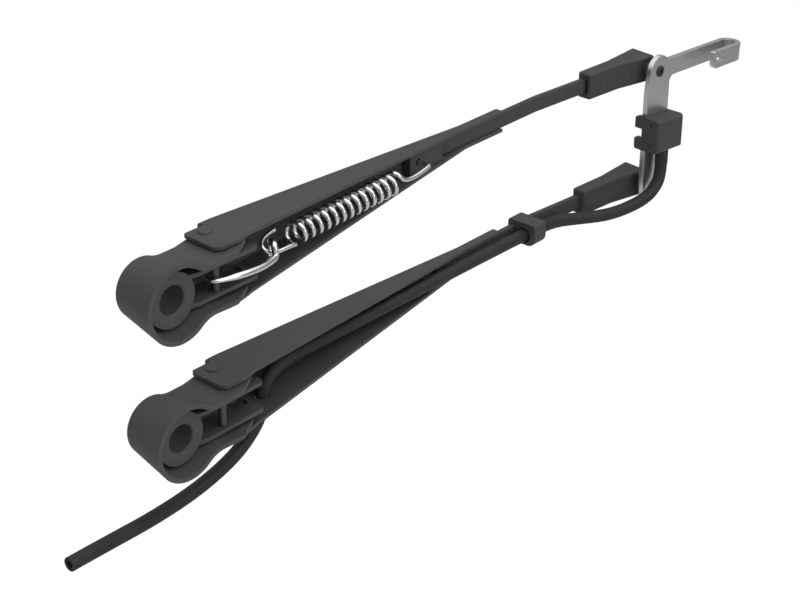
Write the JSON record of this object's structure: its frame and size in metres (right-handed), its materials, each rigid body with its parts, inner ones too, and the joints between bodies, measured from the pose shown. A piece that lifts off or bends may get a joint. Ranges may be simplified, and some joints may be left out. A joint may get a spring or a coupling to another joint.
{
  "type": "parallel-link wiper arm",
  "caption": "Parallel-link windscreen wiper arm: two spring-loaded hinged arms joined at the tip by a link plate with a blade hook, spray nozzle and washer hose.",
  "frame": {"origin": "on the driving spindle's axis, where the straight wall of its bore begins", "axes": "+X from the spindles to the tip, +Y away from the glass, +Z from the following arm to the driving arm"},
  "size_m": [0.4785, 0.0362, 0.1345],
  "materials": {
    "painted_casting": "satin dark grey paint on a die casting",
    "painted_sheet": "satin dark grey paint on folded sheet steel",
    "painted_bar": "satin dark grey paint on a flat steel bar",
    "stainless_plate": "smooth rolled stainless steel",
    "spring_steel": "bright plated spring wire",
    "pin_steel": "plain turned steel",
    "screw_steel": "bright screw head",
    "moulded_black": "fine-grained moulded plastic",
    "hose_rubber": "smooth extruded rubber"
  },
  "bodies": {
    "drive head": {"drive_head": "painted_casting", "drive_anchor_pin": "pin_steel"},
    "drive arm": {"drive_channel": "painted_sheet", "drive_hinge_pin": "painted_casting", "spring_anchor_block": "painted_bar", "drive_bar": "painted_bar", "drive_tip_boot": "moulded_black", "drive_tip_bush": "moulded_black", "drive_tip_screw": "screw_steel"},
    "spring hook": {"spring_hook": "spring_steel"},
    "tension spring": {"tension_spring": "spring_steel"},
    "link plate": {"link_plate": "stainless_plate", "spray_nozzle": "moulded_black", "hose_sleeve": "hose_rubber"},
    "follower arm": {"follower_channel": "painted_sheet", "follower_hinge_pin": "painted_casting", "follower_bar": "painted_bar", "follower_tip_boot": "moulded_black", "follower_tip_bush": "moulded_black", "follower_tip_screw": "screw_steel", "hose_clip": "moulded_black", "washer_hose": "hose_rubber"},
    "follower head": {"follower_head": "painted_casting", "follower_anchor_pin": "pin_steel"}
  },
  "joints": [
    {"name": "upper_lift", "type": "hinge", "parent": "drive head", "child": "drive arm", "pos_m": [0.0337, 0.0147, 0], "axis": [0, 0, 1], "range_deg": [0, 55]},
    {"name": "hook_swing", "type": "hinge", "parent": "drive head", "child": "spring hook", "pos_m": [0.0264, 0.0015, 0], "axis": [0, 0, 1], "range_deg": [-1, 56]},
    {"name": "spring_stretch", "type": "slide", "parent": "spring hook", "child": "tension spring", "axis": [0.9976, 0.0698, 0], "range_m": [-0.0002, 0.008], "deforming": ["tension_spring"]},
    {"name": "link_pivot", "type": "hinge", "parent": "drive arm", "child": "link plate", "pos_m": [0.355, 0, 0], "axis": [0, 1, 0], "range_deg": [-40, 40]},
    {"name": "lower_pivot", "type": "hinge", "parent": "link plate", "child": "follower arm", "pos_m": [0.355, 0, -0.068], "axis": [0, 1, 0], "range_deg": [-41, 41], "deforming": ["washer_hose"]},
    {"name": "follower_lift", "type": "hinge", "parent": "follower arm", "child": "follower head", "pos_m": [0.0337, 0.0147, -0.068], "axis": [0, 0, 1], "range_deg": [-56, 1]}
  ],
  "couplings": [
    {"joint": "hook_swing", "follows": "upper_lift", "ratio": 0.92},
    {"joint": "spring_stretch", "follows": "upper_lift", "m_per_rad": 0.0076},
    {"joint": "follower_lift", "follows": "upper_lift", "ratio": -1},
    {"joint": "lower_pivot", "follows": "link_pivot", "ratio": -1}
  ]
}
